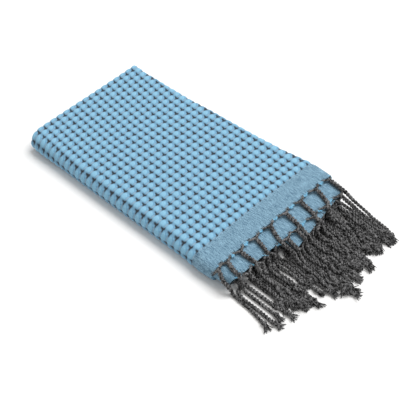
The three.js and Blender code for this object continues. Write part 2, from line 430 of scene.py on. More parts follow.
def cloth_mesh():
    """The sheet: cut flat with its thickness, woven finely where it shows, then folded"""
    bm = bmesh.new()
    s_lines = length_lines()
    t_lines = width_lines()
    flat_grid(bm, s_lines, t_lines)
    face_side = bmesh.ops.extrude_face_region(bm, geom=bm.faces[:], use_keep_orig=True)
    raised = [item for item in face_side["geom"] if isinstance(item, bmesh.types.BMVert)]
    bmesh.ops.translate(bm, verts=raised, vec=(0, 0, 1))

    # The top, the round fold and the upper right fold are finest, then the underside and the far end
    wrap_y, back_y = width_limits(0)
    left = nearest_line(t_lines, wrap_y - WRAP_ARC - 10)
    right = nearest_line(t_lines, back_y + FOLD_ARC + 2)
    border = nearest_line(s_lines, (3 - CELL_START) * CELL_LONG)
    far = nearest_line(s_lines, FOLDED_LENGTH + SECTION[1][0] + 12)
    back_start = nearest_line(s_lines, FOLDED_LENGTH - 14)
    weave_finely(bm, (border, far), (left, right), (CELL_LONG / 8, CELL_WIDE / 8))
    weave_finely(bm, (0, border), (left, right), (CELL_LONG / 3, CELL_WIDE / 8))
    weave_finely(bm, (back_start, far), (LEFT_SELVEDGE, RIGHT_SELVEDGE), (CELL_LONG / 5, CELL_WIDE / 5))
    weave_finely(bm, (border, far), (LEFT_SELVEDGE + 230, left), (CELL_LONG / 4, CELL_WIDE / 4))

    last = SHEET_LENGTH / CELL_LONG + CELL_START
    layer = bm.loops.layers.uv.new("weave")
    for face in bm.faces:
        face.smooth = True
        for loop in face.loops:
            s, t, h = loop.vert.co
            loop[layer].uv = (s / CELL_LONG + CELL_START, t / CELL_WIDE)
    for vert in bm.verts:
        s, t, h = vert.co
        if h > 0.5:
            height = relief(s / CELL_LONG + CELL_START, t / CELL_WIDE, last)
            if s > FOLDED_LENGTH + 30:
                height = HIDDEN_HEIGHT
            vert.co = fold(s, t, PLY_THICKNESS / 2 - GROUND_BELOW_FACE + height)
        else:
            vert.co = fold(s, t, -PLY_THICKNESS / 2)
    bmesh.ops.recalc_face_normals(bm, faces=bm.faces[:])
    to_frame(bm)
    mesh = bpy.data.meshes.new("towel_cloth_woven")
    bm.to_mesh(mesh)
    bm.free()
    return mesh


# Cords of the fringe

CORD_RADIUS = 2.7
STRAND_RADIUS = 1.34
STRAND_OFFSET = 1.42
# A near-black strand in the middle of each cord paints the shade in the grooves between its strands
GROOVE_SHADE_RADIUS = 1
TWIST_LENGTH = 10.4
STRAND_STEP = 1.15
ROUTE_POINTS = 36

# The cords of the top run are thicker by this share where they start, because they are looser there
LOOSE_ROOT = 0.3

# The two strands of a cord meet this far past their hem
GATHER = 4.5

# The yarns of a fringe, in the order of its materials. The last is no yarn but a near-black strand in the
# middle of each cord, painted shade in the grooves between its two strands
CHARCOAL_YARN, GREY_YARN, GROOVE_SHADE = range(3)

# The knots, the tufts past them, and the tongues of loose weft between the cords
KNOT_HEIGHT = 4.2
KNOT_LENGTH = 5.2
KNOT_YARN_RADIUS = 1.4
TUFT_LENGTH = 7
TUFT_YARNS = 20
FRAY_YARNS = 20

# How the cords are laid down, turn by turn: how far they sag, how stiff they are, how strongly they
# keep to their guide, how near to each other they may be pressed, and which neighbours they feel
SETTLE_TURNS = 100
SAG = 0.35
STIFFNESS = 0.2
GUIDE_PULL = 0.03
PRESSED_PITCH = 5.5
NEIGHBOUR_REACH = 9

# The cords that hang from the right corner keep to their guide as far as this along X
CORNER_HOLD = 80

# The outermost cord lies this far from the middle of the round fold, which is this high
WRAP_CORD_REACH = 15.4
WRAP_MIDDLE = 13.9

# Groups of eight lanes across the towel, each lane for the cords of one row
GROUP_PITCH = 28.4
FIRST_LANE = -106

# One row for each hem of each run but the top hem: its lane, its first and last group, and its cords'
# height near their root, near the second hem, where the cloth under them ends, and on the floor
CORD_ROWS = [
    dict(run="bottom", hem="second", lane=1, first=0, last=7, z_root=6, z_hem=5, z_end=3.2, z_floor=2.8),
    dict(run="bottom", hem="first", lane=3, first=0, last=7, z_root=2.8, z_hem=2.8, z_end=2.8, z_floor=2.8),
    dict(run="top", hem="second", lane=4, first=0, last=7, z_root=22, z_hem=21.6, z_end=20, z_floor=6.9),
    dict(run="upper", hem="first", lane=2, first=4, last=7, z_root=14.8, z_hem=14.2, z_end=12.4, z_floor=6.9),
    dict(run="lower", hem="first", lane=5, first=0, last=7, z_root=11.5, z_hem=11.9, z_end=8.2, z_floor=2.8),
    dict(run="upper", hem="second", lane=6, first=3, last=7, z_root=18, z_hem=17, z_end=15.8, z_floor=6.9),
    dict(run="lower", hem="second", lane=7, first=0, last=6, z_root=8, z_hem=8, z_end=4.6, z_floor=2.8),
]

# The nine cords of the top hem, from left to right: where each one lies across the towel, 6 to 130 mm
# past that hem
TOP_CORDS = [
    dict(y6=-112, y18=-119, y30=-117, y45=-116.5, y60=-118, y95=-124, y130=-131),
    dict(y6=-96, y18=-100, y30=-101, y45=-101, y60=-102.4, y95=-103, y130=-110),
    dict(y6=-71, y18=-71, y30=-70, y45=-71, y60=-72, y95=-73, y130=-79),
    dict(y6=-41, y18=-43, y30=-47, y45=-52, y60=-54.5, y95=-53, y130=-57),
    dict(y6=-11, y18=-16, y30=-20, y45=-21, y60=-19, y95=-18, y130=-24),
    dict(y6=20, y18=20, y30=18, y45=16, y60=22, y95=21, y130=15),
    dict(y6=51.5, y18=50.5, y30=49, y45=45, y60=44, y95=46, y130=45),
    dict(y6=84.5, y18=83, y30=79, y45=72, y60=69, y95=69, y130=75),
    dict(y6=114.5, y18=113, y30=111, y45=114.5, y60=117.5, y95=117, y130=106),
]
TOP_CORD_HEIGHTS = dict(z_root=26, z_hem=25, z_end=20.6, z_floor=7)

# Where the cords of the second hem leave it on the top run. The first of these places holds no cord.
SECOND_ROOTS = [-109, -86, -59, -36, -9, 10, 46, 72, 103]

# Where the other cords lie across the towel 60 mm past the top hem. Here x is their lane at the hem.
MID_LANES = [
    dict(x=-103, y60=-113.2), dict(x=-95, y60=-94.2), dict(x=-88, y60=-83), dict(x=-86, y60=-81),
    dict(x=-81, y60=-78), dict(x=-74, y60=-73.5), dict(x=-67, y60=-69), dict(x=-60, y60=-75),
    dict(x=-59, y60=-70), dict(x=-53, y60=-57.5), dict(x=-46, y60=-53), dict(x=-39, y60=-50),
    dict(x=-36, y60=-39.5), dict(x=-31, y60=-29), dict(x=-24, y60=-26), dict(x=-17, y60=-21),
    dict(x=0, y60=-5), dict(x=28, y60=22), dict(x=38, y60=36), dict(x=52, y60=50),
    dict(x=70, y60=66), dict(x=78, y60=79), dict(x=96, y60=90), dict(x=100, y60=93),
    dict(x=103, y60=96), dict(x=111, y60=97.5), dict(x=115, y60=100),
]

# Where the groups of tips lie, from left to right, measured at the ends of their tufts
TIPS = [
    dict(y=-127, x=109), dict(y=-112, x=118), dict(y=-91, x=118), dict(y=-70, x=121),
    dict(y=-58, x=135), dict(y=-41, x=124), dict(y=-24, x=137), dict(y=-6, x=157),
    dict(y=3, x=139), dict(y=16, x=143), dict(y=32, x=134), dict(y=47, x=143),
    dict(y=61, x=129), dict(y=77, x=134), dict(y=93, x=136), dict(y=104, x=139),
]

# Lines on the floor that stay clear between the cords. The cords keep away from each by wide more
# than just clears it, and close over it where wide is below 0.
PARTINGS = [
    dict(x0=17, y0=-94.7, x1=33, y1=-96.2, wide=0.8),
    dict(x0=20, y0=-104, x1=43, y1=-105, wide=0.8),
    dict(x0=43, y0=-107, x1=99, y1=-107, wide=1.3),
    dict(x0=40, y0=-96.8, x1=81, y1=-96.8, wide=0.2),
    dict(x0=31, y0=-87.5, x1=81, y1=-87.5, wide=1.3),
    dict(x0=48, y0=-60.8, x1=75, y1=-60, wide=0.2),
    dict(x0=49, y0=-43.5, x1=77, y1=-42, wide=1.2),
    dict(x0=45, y0=-34.7, x1=59, y1=-34.6, wide=0.4),
    dict(x0=23, y0=-19, x1=45, y1=-28, wide=-1),
    dict(x0=28, y0=107, x1=56, y1=105.5, wide=1.2),
    dict(x0=33, y0=116.6, x1=48, y1=113, wide=0.5),
    dict(x0=51, y0=87.5, x1=69, y1=88, wide=0.4),
    dict(x0=35, y0=77, x1=43, y1=77, wide=0),
    dict(x0=41, y0=46, x1=65, y1=43, wide=0.5),
]

# The way of the three cords that hang from the right corner of the two upper hems
CORNER_CORDS = [
    dict(run="top", hem="first", root=114.5, way=[
        dict(x=12, y=113.5, z=26.5), dict(x=22, y=112, z=27), dict(x=32, y=111.5, z=26),
        dict(x=40, y=112, z=23.5), dict(x=51, y=112.6, z=17.5), dict(x=61, y=115, z=11.5),
        dict(x=70, y=116.8, z=7.2), dict(x=81, y=117, z=4.2), dict(x=98, y=115.5, z=3),
        dict(x=135, y=104, z=3),
    ]),
    dict(run="top", hem="second", root=103, way=[
        dict(x=38, y=102.6, z=23.6), dict(x=45, y=106, z=17), dict(x=53, y=109, z=11),
        dict(x=61, y=110.3, z=6.4), dict(x=69, y=111.5, z=3.8), dict(x=98, y=109.5, z=3),
        dict(x=135, y=98, z=3),
    ]),
    dict(run="upper", hem="second", root=114.1, way=[
        dict(x=34, y=96, z=17), dict(x=40, y=98.5, z=14.5), dict(x=48, y=103.6, z=7.5),
        dict(x=55, y=106.5, z=4), dict(x=68, y=107, z=3), dict(x=98, y=104.5, z=3),
        dict(x=135, y=94, z=3),
    ]),
]


def sway(x):
    """How far the fringe as a whole drifts across the towel on its way to the tips"""
    return -9 * (max(0, x) / 112) ** 1.4


def hem_edge(run_name, hem, y):
    """The middle of the sheet's edge on the named run"""
    s = 0 if hem == "first" else SHEET_LENGTH
    return fold(s, across(run_name, y), 0)


def free_start(y):
    """How far along X the cords at y are held by the cloth under them"""
    third_hem = SECOND_HEM_REACH + near_shift(0, y / 240 + 0.5, "second") + 3
    return lerp(SECOND_HEM_REACH + 2, third_hem, smoothstep(y, -19, -13))


def top_route(cord):
    """The way of a cord of the top hem, without its height"""
    table = [dict(x=float(name[1:]), y=value) for name, value in cord.items()]
    return lambda x: along(table, x, "y")


def nearest_tip(y):
    """The group of tips that a cord at y on the floor ends in"""
    return min(TIPS, key=lambda tip: abs(tip["y"] - y))


def lane_route(lane_y, lean, phase):
    """The way of any other cord: to its place at 60 mm, then with a lean to a group of tips"""
    middle_y = along(MID_LANES, lane_y, "y60")
    plain_end = middle_y + sway(120) - sway(60)
    lean += 0.65 * (nearest_tip(plain_end)["y"] - plain_end)

    def way(x):
        moved = smoothstep(x, 8, 46)
        y = lerp(lane_y, middle_y, moved) + sway(x) - sway(60) * moved
        wave = smoothstep(x, 25, 55) * math.sin(x / (10 + phase) + 2 * phase)
        return y + lean * smoothstep(x, 55, 130) + 2.2 * wave

    return way


def cord_plans(random):
    """The row, the place across at the hem, and the way of every cord"""
    plans = []
    for cord in TOP_CORDS:
        row = dict(run="top", hem="first", **TOP_CORD_HEIGHTS)
        plans.append((row, cord["y6"], top_route(cord)))
    for row in CORD_ROWS:
        for index in range(row["first"], row["last"] + 1):
            lane_y = FIRST_LANE + GROUP_PITCH * (index + row["lane"] / 8)
            if row["run"] == "top":
                lane_y = SECOND_ROOTS[index + 1]
            way = lane_route(lane_y, random.uniform(-8, 8), random.uniform(0, 6))
            plans.append((row, lane_y, way))
    return plans


def tip_reach(row, way, random):
    """Where a cord's knot lies along X, short of its tuft and of the middle of its group of tips"""
    tip = nearest_tip(way(125))
    off = abs(way(125) - tip["y"])
    shorter = 4 + 20 * random.uniform(0, 1) if off > 2.2 else 0
    if row["run"] == "top" and row["hem"] == "first":
        shorter = 2
    return tip["x"] - TUFT_LENGTH - 0.5 * off - shorter


def cord_guide(row, root_y, way, held, tip_x):
    """Evenly spaced places along the way of one cord, as high as its row"""
    start = hem_edge(row["run"], row["hem"], root_y)
    start.x += GATHER
    side = start.y - way(start.x)
    heights = [
        dict(x=start.x, z=start.z + 0.6),
        dict(x=start.x + 8, z=row["z_root"]),
        dict(x=max(30, start.x + 12), z=row["z_hem"]),
        dict(x=max(held, start.x + 14), z=row["z_end"]),
        dict(x=95, z=row["z_floor"]),
        dict(x=200, z=row["z_floor"]),
    ]
    points = []
    for step in range(ROUTE_POINTS):
        x = lerp(start.x, tip_x, step / (ROUTE_POINTS - 1))
        y = way(x) + side * (1 - smoothstep(x, start.x, start.x + 25))
        z = along(heights, x, "z")
        if x < held:
            z += top_waves(x, y) * smoothstep(z, 6, 26)
        points.append((x, y, z))
    return points


def cord_routes(random):
    """The guide of every cord, from its hem to its tip, and how far along X the cloth holds it"""
    routes = []
    for row, root_y, way in cord_plans(random):
        held = free_start(root_y)
        points = cord_guide(row, root_y, way, held, tip_reach(row, way, random))
        route = dict(points=points, run=row["run"], hem=row["hem"], root_y=root_y, held=held)
        hang_from_corner(route)
        routes.append(route)
    over_wrap(routes[0]["points"])
    return routes


def hang_from_corner(route):
    """Gives a cord of the right corner its own way down"""
    for cord in CORNER_CORDS:
        same_hem = (cord["run"], cord["hem"]) == (route["run"], route["hem"])
        if same_hem and abs(cord["root"] - route["root_y"]) < 1:
            route["held"] = CORNER_HOLD
            first_x = cord["way"][0]["x"]
            for k, (x, y, z) in enumerate(route["points"]):
                share = smoothstep(x, first_x - 12, first_x)
                y = lerp(y, along(cord["way"], x, "y"), share)
                z = lerp(z, along(cord["way"], x, "z"), share)
                route["points"][k] = (x, y, z)


def over_wrap(points):
    """Lays the outermost cord on the outside of the round fold, and then down to the floor"""
    for k, (x, y, z) in enumerate(points):
        wrap_y = width_limits(x)[0]
        angle = lerp(0.45, 1.35, smoothstep(x, 2, 24))
        on_fold_y = wrap_y - WRAP_CORD_REACH * math.sin(angle)
        on_fold_z = WRAP_MIDDLE + WRAP_CORD_REACH * math.cos(angle)
        held = 1 - smoothstep(x, 22, 34)
        points[k] = (x, lerp(y, on_fold_y, held), lerp(min(z, 6), on_fold_z, held))


def keep_clear(flat, looseness):
    """Moves the cords sideways off the lines that stay clear. A cord on the near side of a line, seen
    from the long side with the round fold, hides more of the floor behind it the higher it lies."""
    for line in PARTINGS:
        share = (flat[:, 0] - line["x0"]) / (line["x1"] - line["x0"])
        within = (share > 0) & (share < 1) & (flat[:, 2] < 16)
        away = flat[:, 1] - (line["y0"] + share * (line["y1"] - line["y0"]))
        nearer = away < 0
        hiding = 1.2 * CORD_RADIUS + 0.64 * np.minimum(flat[:, 2], 8)
        wanted = np.where(nearer, hiding, CORD_RADIUS) + line["wide"]
        push = np.clip(wanted - np.abs(away), 0, None) * np.where(nearer, -1, 1) * 0.7
        flat[:, 1] += push * within * looseness[:, 0]


def near_pairs(place):
    """The places on different cords that are near enough to touch soon, as two lists"""
    cords, points, axes = place.shape
    flat = place.reshape(-1, 3)
    owner = np.repeat(np.arange(cords), points)
    pairs_a = []
    pairs_b = []
    for cord in range(cords):
        mine = slice(cord * points, (cord + 1) * points)
        gap = np.linalg.norm(flat[mine, None] - flat[None], axis=2)
        near_a, near_b = np.nonzero((gap < NEIGHBOUR_REACH) & (owner[None] > cord))
        pairs_a.append(near_a + cord * points)
        pairs_b.append(near_b)
    return np.concatenate(pairs_a), np.concatenate(pairs_b)


def settle(routes):
    """Lets the cords lie on each other and on the floor, where they are past the hems"""
    guide = np.array([route["points"] for route in routes])
    place = guide.copy()
    cords, points, axes = place.shape
    held = np.array([[route["held"]] for route in routes])
    free = np.clip((guide[:, :, 0] - held) / 12, 0, 1)[:, :, None]
    floor = np.full((cords, points), CORD_RADIUS + 0.1)
    floor[:, -3:] = KNOT_HEIGHT
    step = np.linalg.norm(np.diff(guide, axis=1), axis=2, keepdims=True)
    for turn_index in range(SETTLE_TURNS):
        place[:, :, 2:] -= SAG * free
        middle = (place[:, :-2] + place[:, 2:]) / 2
        place[:, 1:-1] += STIFFNESS * free[:, 1:-1] * (middle - place[:, 1:-1])
        place[:, :, :2] += GUIDE_PULL * free * (guide[:, :, :2] - place[:, :, :2])
        for k in range(1, points):
            span = place[:, k] - place[:, k - 1]
            length = np.linalg.norm(span, axis=1, keepdims=True)
            wanted = place[:, k - 1] + span * step[:, k - 1] / length
            place[:, k] += free[:, k] * (wanted - place[:, k])
        if turn_index % 6 == 0:
            pairs_a, pairs_b = near_pairs(place)
        flat = place.reshape(-1, 3)
        looseness = free.reshape(-1, 1)
        for again in range(2):
            span = flat[pairs_a] - flat[pairs_b]
            gap = np.linalg.norm(span, axis=1, keepdims=True) + 1e-6
            push = np.clip(PRESSED_PITCH - gap, 0, None) * span / gap * 0.4
            np.add.at(flat, pairs_a, push * looseness[pairs_a])
            np.add.at(flat, pairs_b, -push * looseness[pairs_b])
        keep_clear(flat, looseness)
        flat[:, 2] = np.maximum(flat[:, 2], floor.reshape(-1))
        place = flat.reshape(cords, points, 3)
    return place


def smooth_path(points, step):
    """Evenly spaced places on a smooth curve through the points"""
    points = [Vector(point) for point in points]
    dense = []
    for k in range(len(points) - 1):
        p0 = points[max(0, k - 1)]
        p1 = points[k]
        p2 = points[k + 1]
        p3 = points[min(len(points) - 1, k + 2)]
        for part in range(6):
            f = part / 6
            a = 2 * p1
            b = (p2 - p0) * f
            c = (2 * p0 - 5 * p1 + 4 * p2 - p3) * f * f
            d = (3 * p1 - p0 - 3 * p2 + p3) * f ** 3
            dense.append((a + b + c + d) / 2)
    dense.append(points[-1])
    even = [dense[0]]
    for a, b in zip(dense, dense[1:]):
        while (b - even[-1]).length > step:
            even.append(even[-1] + (b - even[-1]).normalized() * step)
    return even


def add_strand(curve, points, radii, material_index):
    """One yarn or strand through the points, nowhere lower than the floor"""
    spline = curve.splines.new("POLY")
    spline.points.add(len(points) - 1)
    spline.material_index = material_index
    spline.use_smooth = True
    for point, place, radius in zip(spline.points, points, radii):
        on_floor = Vector((place.x, place.y, max(place.z, radius + 0.1)))
        point.co = (*((on_floor + HEM_PLACE) * MM), 1)
        point.radius = radius


def new_curve(name, resolution):
    curve = bpy.data.curves.new(name, "CURVE")
    curve.dimensions = "3D"
    curve.bevel_depth = MM
    curve.bevel_resolution = resolution
    curve.use_fill_caps = True
    return curve


def curve_to_mesh(curve, name):
    """The curve's round strands as a mesh. The curve's own object doesn't stay."""
    holder = bpy.data.objects.new(name + "_curve", curve)
    bpy.context.scene.collection.objects.link(holder)
    bpy.context.view_layer.update()
    mesh = bpy.data.meshes.new_from_object(holder.evaluated_get(bpy.context.evaluated_depsgraph_get()))
    bpy.data.objects.remove(holder)
    mesh.name = name
    return mesh


def sides_of(path, k):
    """The way along the path at its kth place, and two ways across it: sideways and upwards"""
    after = path[min(k + 1, len(path) - 1)]
    before = path[max(k - 1, 0)]
    tangent = (after - before).normalized()
    sideways = Vector((0, 0, 1)).cross(tangent).normalized()
    return tangent, sideways, tangent.cross(sideways)


def root_arm(route, root, side, reach, thin, thick):
    """Warp ends that leave the cloth's face at the hem and run to the place where they meet"""
    hem_end = hem_edge(route["run"], route["hem"], route["root_y"] + side * reach)
    on_cloth = hem_end + Vector((-2.6, 0.4 * side, 0.8))
    over_edge = hem_end + Vector((0.6, 0, 0.5))
    points = [on_cloth, on_cloth.lerp(over_edge, 0.5)]
    radii = [0.4, thin]
    for part in range(6):
        share = part / 6
        place = over_edge.lerp(root, share)
        place.x = lerp(over_edge.x, root.x, share ** 1.4)
        points.append(place)
        radii.append(lerp(thin, thick, share ** 0.6))
    return points, radii


def twisted_cord(curve, route, path_points, random):
    """Two strands that leave the hem apart, meet, and twist together to the knot at the tip"""
    path = smooth_path(path_points, STRAND_STEP)
    phase = random.uniform(0, 2 * math.pi)
    size = random.uniform(0.94, 1.06)
    twist = TWIST_LENGTH * random.uniform(0.92, 1.1)
    loose_root = LOOSE_ROOT if route["run"] == "top" else 0
    pairs = [
        (CHARCOAL_YARN, GREY_YARN), (CHARCOAL_YARN, CHARCOAL_YARN),
        (GREY_YARN, GREY_YARN), (GREY_YARN, CHARCOAL_YARN),
    ]
    yarns = pairs[random.integers(4)]
    for strand in (0, 1):
        side = 1 - 2 * strand
        reach = random.uniform(9.5, 12)
        points, radii = root_arm(route, path[0], side, reach, 0.8, 1.7 + 2 * loose_root)
        for k, place in enumerate(path):
            length = k * STRAND_STEP
            sideways, up = sides_of(path, k)[1:]
            angle = phase + strand * math.pi + 2 * math.pi * length / twist
            thick = size * (1 + loose_root * (1 - smoothstep(length, 15, 65)))
            offset = STRAND_OFFSET * thick * smoothstep(length, -2, 4)
            points.append(place + offset * (sideways * math.cos(angle) + up * math.sin(angle)))
            radii.append(STRAND_RADIUS * thick)
        add_strand(curve, points, radii, yarns[strand])
        if route["run"] == "top":
            for share in (0.82, 0.62):
                points, radii = root_arm(route, path[2], side, reach * share, 0.7, 1.3)
                add_strand(curve, points, radii, (GREY_YARN, CHARCOAL_YARN)[strand])
    # A near-black strand along the cord's middle: painted shade in the grooves between the two strands
    groove_shade_core = path[2:-2:2]
    add_strand(curve, groove_shade_core, [GROOVE_SHADE_RADIUS * size] * len(groove_shade_core), GROOVE_SHADE)
    add_knot(curve, path, phase)
    add_tuft(curve, path, phase, random)


def add_knot(curve, path, phase):
    """Two yarns wound round the end of the cord"""
    tip = path[-1]
    tangent, sideways, up = sides_of(path, len(path) - 3)
    for wrap in (CHARCOAL_YARN, GREY_YARN):
        points = []
        for k in range(13):
            angle = phase + 2 * math.pi * k / 8 + wrap * math.pi
            out = sideways * math.cos(angle) + up * math.sin(angle)
            back = tangent * (KNOT_LENGTH - 0.4 * k)
            points.append(tip - back + out * (2.3 + 0.5 * math.sin(k / 2)))
        add_strand(curve, points, [KNOT_YARN_RADIUS] * 13, wrap)


def add_tuft(curve, path, phase, random):
    """Loose yarns that spread past the knot and droop to the floor"""
    tip = path[-1]
    tangent, sideways, up = sides_of(path, len(path) - 3)
    bend = random.uniform(-0.4, 0.4)
    for yarn in range(TUFT_YARNS):
        angle = 2 * math.pi * yarn / TUFT_YARNS + phase
        out = sideways * math.cos(angle) + up * math.sin(angle)
        flare = random.uniform(0.1, 0.65)
        reach = random.uniform(TUFT_LENGTH, TUFT_LENGTH + 5)
        start = tip - tangent * 1.5 + out * random.uniform(0.5, 1.8)
        points = []
        radii = []
        for part in range(4):
            share = part / 3
            spread = (out * flare + sideways * bend) * reach * share ** 1.4
            place = start + tangent * reach * share + spread
            place.z = max(0.7, place.z - 2.2 * share)
            points.append(place)
            radii.append(0.8 - 0.35 * share)
        add_strand(curve, points, radii, (yarn + yarn // 3) % 2)


def frays(curve, random):
    """Loose ends of the blue weft that stand out between the cords along the hems that show"""
    past_corner = 131
    first_roots = [cord["y6"] for cord in TOP_CORDS] + [past_corner]
    for hem, roots in (("first", first_roots), ("second", SECOND_ROOTS)):
        for left, right in zip(roots, roots[1:]):
            middle = lerp(left, right, random.uniform(0.4, 0.6))
            width = random.uniform(8.5, 14)
            reach = random.uniform(2.8, 6)
            peak = random.uniform(0.2, 0.8)
            for yarn in range(FRAY_YARNS):
                share = yarn / (FRAY_YARNS - 1)
                start = hem_edge("top", hem, middle + width * (share - 0.5))
                start += Vector((-1.6, 0, 0.45))
                tall = min(share / peak, (1 - share) / (1 - peak)) * random.uniform(0.7, 1)
                out = Vector((1.9 + reach * tall, random.uniform(-0.6, 0.6), -0.9 * tall))
                points = [start + out * part / 3 for part in range(4)]
                add_strand(curve, points, [0.4, 0.45, 0.4, 0.25], 0)


# Materials

def srgb(red, green, blue):
    """A colour as the shaders take it, from values up to 255"""
    def linear(value):
        share = value / 255
        return share / 12.92 if share <= 0.04045 else ((share + 0.055) / 1.055) ** 2.4

    return (linear(red), linear(green), linear(blue), 1)


# Dyes of the cloth
PILLOW_BLUE = srgb(121, 173, 203)
PILLOW_PALE = srgb(147, 194, 218)
# Painted shade in the valleys between the pillows
PILLOW_VALLEY_SHADE = srgb(106, 148, 176)
RIDGE_GREY = srgb(148, 170, 186)
# Painted shade on one side of each pillow
SHADE_STREAK_BLUE = srgb(86, 136, 172)
# Painted shade in the pits round the dark dots
PIT_SHADE_BLUE = srgb(84, 120, 150)
DOT_CHARCOAL = srgb(50, 56, 62)
BORDER_DARK = srgb(64, 97, 120)
BORDER_PALE = srgb(145, 181, 202)

# Colours of the yarns, dark and light, mixed by random flecks: the yarn's own speckle, and for the charcoal
# and grey yarns also painted shade in the near-black darks and painted highlights in the bright lights
CHARCOAL = (srgb(7, 7, 8), srgb(126, 126, 127))
GREY = (srgb(9, 9, 9), srgb(212, 209, 205))
# Near-black strand inside the cords: painted shade in their grooves
GROOVE_SHADE_BLACK = (srgb(4, 4, 4), srgb(12, 12, 12))
WEFT_BLUE = (srgb(112, 174, 208), srgb(150, 206, 232))

# Arms of a dark dot, in cells from its middle, each with how much it narrows to its end
DOT_ARMS = [
    dict(end=(0.28, 0.06, 0), taper=0.08),
    dict(end=(-0.06, -0.17, 0), taper=0.03),
    dict(end=(-0.11, 0.09, 0), taper=0.02),
]

# A faint streak of painted shade on one side of each pillow, near one corner
SHADE_STREAK_START = (0.2, -0.33, 0)
SHADE_STREAK_ARM = dict(end=(0.26, 0.23, 0), taper=0.03)


def set_up_material(name):
    """A new material with its tree of nodes and its shader"""
    material = bpy.data.materials.new(name)
    material.use_nodes = True
    tree = material.node_tree
    shader = tree.nodes["Principled BSDF"]
    return material, tree, shader


class Maker:
    """Adds and joins the nodes of one tree"""

    def __init__(self, tree):
        self.tree = tree

    def node(self, kind, **settings):
        node = self.tree.nodes.new(kind)
        for name, value in settings.items():
            setattr(node, name, value)
        return node

    def put(self, socket, value):
        if isinstance(value, bpy.types.NodeSocket):
            self.tree.links.new(value, socket)
        else:
            socket.default_value = value

    def math(self, operation, *values, clamp=False):
        node = self.node("ShaderNodeMath", operation=operation, use_clamp=clamp)
        for socket, value in zip(node.inputs, values):
            self.put(socket, value)
        return node.outputs[0]

    def step(self, value, low, high):
        """0 below low and 1 above high, softly, or the other way round where low is the higher"""
        node = self.node("ShaderNodeMapRange", interpolation_type="SMOOTHSTEP")
        flip = low > high
        self.put(node.inputs["Value"], value)
        node.inputs["From Min"].default_value = min(low, high)
        node.inputs["From Max"].default_value = max(low, high)
        node.inputs["To Min"].default_value = 1 if flip else 0
        node.inputs["To Max"].default_value = 0 if flip else 1
        return node.outputs["Result"]

    def scaled(self, vector, scale):
        node = self.node("ShaderNodeMapping")
        self.put(node.inputs["Vector"], vector)
        node.inputs["Scale"].default_value = scale
        return node.outputs["Vector"]

    def noise(self, vector, scale, detail=2, roughness=0.5):
        node = self.node("ShaderNodeTexNoise")
        self.put(node.inputs["Vector"], vector)
        node.inputs["Scale"].default_value = scale
        node.inputs["Detail"].default_value = detail
        node.inputs["Roughness"].default_value = roughness
        return node.outputs["Fac"]

    def vector(self, operation, first, second):
        node = self.node("ShaderNodeVectorMath", operation=operation)
        self.put(node.inputs[0], first)
        self.put(node.inputs[1], second)
        return node.outputs["Value" if operation in ("DOT_PRODUCT", "DISTANCE") else "Vector"]

    def arm(self, place, end, taper):
        """Distance from the line that runs from the origin to end, larger by taper at its end"""
        length = end[0] ** 2 + end[1] ** 2
        share = self.math("MULTIPLY", self.vector("DOT_PRODUCT", place, end), 1 / length, clamp=True)
        node = self.node("ShaderNodeVectorMath", operation="SCALE")
        node.inputs[0].default_value = end
        self.put(node.inputs["Scale"], share)
        distance = self.vector("DISTANCE", place, node.outputs["Vector"])
        return self.math("MULTIPLY_ADD", share, taper, distance)

    def mix(self, share, first, second):
        node = self.node("ShaderNodeMix", data_type="RGBA")
        self.put(node.inputs["Factor"], share)
        for name, value in (("A", first), ("B", second)):
            socket = [item for item in node.inputs if item.name == name and item.type == "RGBA"][0]
            self.put(socket, value)
        return [item for item in node.outputs if item.type == "RGBA"][0]

    def bump(self, height, strength, distance):
        node = self.node("ShaderNodeBump")
        node.inputs["Strength"].default_value = strength
        node.inputs["Distance"].default_value = distance
        self.put(node.inputs["Height"], height)
        return node.outputs["Normal"]


